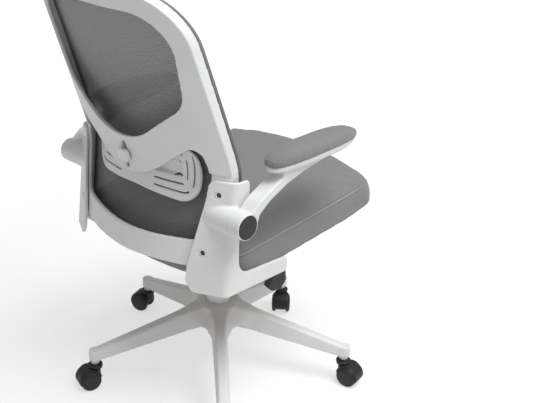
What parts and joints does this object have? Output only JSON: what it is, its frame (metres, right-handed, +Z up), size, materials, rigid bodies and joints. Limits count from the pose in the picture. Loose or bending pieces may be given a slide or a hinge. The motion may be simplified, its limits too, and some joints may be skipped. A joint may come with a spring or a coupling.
{
  "type": "office chair",
  "caption": "Swivel office chair with a mesh back in an open frame, sliding lumbar support, padded seat, flip-up armrests, gas lift and a star base on twin-wheel casters.",
  "frame": {"origin": "on the floor under the axis of the column", "axes": "+Z up, the sitter faces -Y, the sitter's right hand is on the -X side"},
  "size_m": [0.6813, 0.7082, 0.9899],
  "materials": {
    "white_plastic": "fine satin texture",
    "dark_plastic": "fine matte texture",
    "seat_fabric": "grey woven cloth",
    "back_fabric": "grey knitted mesh",
    "arm_fabric": "grey woven cloth over foam",
    "steel": "plain steel",
    "black_steel": "black powder coat",
    "plywood": "bare plywood",
    "nylon": "moulded nylon"
  },
  "bodies": {
    "base": {"star_base": "white_plastic", "caster_stems": "steel", "gas_outer_tube": "black_steel", "guide_bush": "dark_plastic", "piston_rod": "steel", "cover_lower": "white_plastic"},
    "cover_mid": {"cover_middle": "white_plastic"},
    "lift": {"cover_upper": "white_plastic"},
    "swivel": {"gas_inner_tube": "steel", "mechanism_housing": "black_steel", "tilt_shaft": "steel", "tension_spring": "steel"},
    "valve": {"valve_button": "steel"},
    "knob": {"tension_bolt": "steel", "tension_knob": "dark_plastic"},
    "lever_pivot": {"lever_bush": "dark_plastic"},
    "lever": {"lever_rod": "steel", "lever_paddle": "dark_plastic"},
    "seat": {"seat_plate": "black_steel", "seat_board": "plywood", "seat_cushion": "seat_fabric", "seat_bolts": "steel", "bracket_right": "white_plastic", "bracket_left": "white_plastic", "bracket_bolts": "steel", "back_screws": "steel", "arm_pivot_pins": "steel", "back_frame": "white_plastic", "back_mesh": "back_fabric"},
    "lumbar": {"lumbar_pad": "white_plastic", "lumbar_carrier": "white_plastic", "lumbar_grip": "white_plastic"},
    "arm_right": {"arm_right": "white_plastic", "arm_cap_right": "dark_plastic", "arm_pad_right": "arm_fabric", "arm_screws_right": "steel"},
    "arm_left": {"arm_left": "white_plastic", "arm_cap_left": "dark_plastic", "arm_pad_left": "arm_fabric", "arm_screws_left": "steel"},
    "caster_a": {"caster_hood_a": "nylon", "caster_axle_a": "steel"},
    "wheel_a_a": {"caster_wheel_a_a": "nylon"},
    "wheel_a_b": {"caster_wheel_a_b": "nylon"},
    "caster_b": {"caster_hood_b": "nylon", "caster_axle_b": "steel"},
    "wheel_b_a": {"caster_wheel_b_a": "nylon"},
    "wheel_b_b": {"caster_wheel_b_b": "nylon"},
    "caster_c": {"caster_hood_c": "nylon", "caster_axle_c": "steel"},
    "wheel_c_a": {"caster_wheel_c_a": "nylon"},
    "wheel_c_b": {"caster_wheel_c_b": "nylon"},
    "caster_d": {"caster_hood_d": "nylon", "caster_axle_d": "steel"},
    "wheel_d_a": {"caster_wheel_d_a": "nylon"},
    "wheel_d_b": {"caster_wheel_d_b": "nylon"},
    "caster_e": {"caster_hood_e": "nylon", "caster_axle_e": "steel"},
    "wheel_e_a": {"caster_wheel_e_a": "nylon"},
    "wheel_e_b": {"caster_wheel_e_b": "nylon"}
  },
  "joints": [
    {"name": "caster_a_swivel", "type": "hinge", "parent": "base", "child": "caster_a", "pos_m": [-0.235, 0.20522, 0.06], "axis": [0, 0, 1], "continuous": true},
    {"name": "wheel_a_a_roll", "type": "hinge", "parent": "caster_a", "child": "wheel_a_a", "pos_m": [-0.25192, 0.21138, 0.025], "axis": [-0.342, -0.9397, 0], "continuous": true},
    {"name": "wheel_a_b_roll", "type": "hinge", "parent": "caster_a", "child": "wheel_a_b", "pos_m": [-0.25192, 0.21138, 0.025], "axis": [-0.342, -0.9397, 0], "continuous": true},
    {"name": "caster_b_swivel", "type": "hinge", "parent": "base", "child": "caster_b", "pos_m": [-0.2678, -0.16009, 0.06], "axis": [0, 0, 1], "continuous": true},
    {"name": "wheel_b_a_roll", "type": "hinge", "parent": "caster_b", "child": "wheel_b_a", "pos_m": [-0.28547, -0.16352, 0.025], "axis": [0.1908, -0.9816, 0], "continuous": true},
    {"name": "wheel_b_b_roll", "type": "hinge", "parent": "caster_b", "child": "wheel_b_b", "pos_m": [-0.28547, -0.16352, 0.025], "axis": [0.1908, -0.9816, 0], "continuous": true},
    {"name": "caster_c_swivel", "type": "hinge", "parent": "base", "child": "caster_c", "pos_m": [0.0695, -0.30416, 0.06], "axis": [0, 0, 1], "continuous": true},
    {"name": "wheel_c_a_roll", "type": "hinge", "parent": "caster_c", "child": "wheel_c_a", "pos_m": [0.05745, -0.29079, 0.025], "axis": [-0.7431, -0.6691, 0], "continuous": true},
    {"name": "wheel_c_b_roll", "type": "hinge", "parent": "caster_c", "child": "wheel_c_b", "pos_m": [0.05745, -0.29079, 0.025], "axis": [-0.7431, -0.6691, 0], "continuous": true},
    {"name": "caster_d_swivel", "type": "hinge", "parent": "base", "child": "caster_d", "pos_m": [0.31075, -0.0279, 0.06], "axis": [0, 0, 1], "continuous": true},
    {"name": "wheel_d_a_roll", "type": "hinge", "parent": "caster_d", "child": "wheel_d_a", "pos_m": [0.32766, -0.02174, 0.025], "axis": [-0.342, 0.9397, 0], "continuous": true},
    {"name": "wheel_d_b_roll", "type": "hinge", "parent": "caster_d", "child": "wheel_d_b", "pos_m": [0.32766, -0.02174, 0.025], "axis": [-0.342, 0.9397, 0], "continuous": true},
    {"name": "caster_e_swivel", "type": "hinge", "parent": "base", "child": "caster_e", "pos_m": [0.12256, 0.28692, 0.06], "axis": [0, 0, 1], "continuous": true},
    {"name": "wheel_e_a_roll", "type": "hinge", "parent": "caster_e", "child": "wheel_e_a", "pos_m": [0.12722, 0.30431, 0.025], "axis": [-0.9659, 0.2588, 0], "continuous": true},
    {"name": "wheel_e_b_roll", "type": "hinge", "parent": "caster_e", "child": "wheel_e_b", "pos_m": [0.12722, 0.30431, 0.025], "axis": [-0.9659, 0.2588, 0], "continuous": true},
    {"name": "height_slide", "type": "slide", "parent": "base", "child": "lift", "axis": [0, 0, 1], "range_m": [-0.07, 0.03]},
    {"name": "cover_slide", "type": "slide", "parent": "base", "child": "cover_mid", "axis": [0, 0, 1], "range_m": [-0.035, 0.015]},
    {"name": "seat_swivel", "type": "hinge", "parent": "lift", "child": "swivel", "pos_m": [0, 0, 0.33], "axis": [0, 0, 1], "continuous": true},
    {"name": "valve_press", "type": "slide", "parent": "swivel", "child": "valve", "axis": [0, 0, -1], "range_m": [0, 0.005]},
    {"name": "tension_turn", "type": "hinge", "parent": "swivel", "child": "knob", "pos_m": [0, -0.062, 0.33], "axis": [0, 0, 1], "range_deg": [0, 1080]},
    {"name": "lever_lift", "type": "hinge", "parent": "swivel", "child": "lever_pivot", "pos_m": [-0.07, 0.0085, 0.3506], "axis": [0.1219, 0.9925, 0], "range_deg": [0, 4]},
    {"name": "lever_pull", "type": "slide", "parent": "lever_pivot", "child": "lever", "axis": [-0.9775, 0.12, -0.1736], "range_m": [0, 0.015]},
    {"name": "seat_tilt", "type": "hinge", "parent": "swivel", "child": "seat", "pos_m": [0, -0.095, 0.372], "axis": [-1, 0, 0], "range_deg": [0, 12], "stiffness_Nm_per_rad": 150, "springref_deg": -17.19, "deforming": ["tension_spring"]},
    {"name": "lumbar_slide", "type": "slide", "parent": "seat", "child": "lumbar", "axis": [0, 0.1908, 0.9816], "range_m": [-0.02, 0.02]},
    {"name": "arm_right_flip", "type": "hinge", "parent": "seat", "child": "arm_right", "pos_m": [-0.28, 0.204, 0.536], "axis": [-1, 0, 0], "range_deg": [0, 90]},
    {"name": "arm_left_flip", "type": "hinge", "parent": "seat", "child": "arm_left", "pos_m": [0.28, 0.204, 0.536], "axis": [-1, 0, 0], "range_deg": [0, 90]}
  ],
  "couplings": [
    {"joint": "cover_slide", "follows": "height_slide", "ratio": 0.5},
    {"joint": "valve_press", "follows": "lever_lift", "m_per_rad": 0.0702}
  ]
}
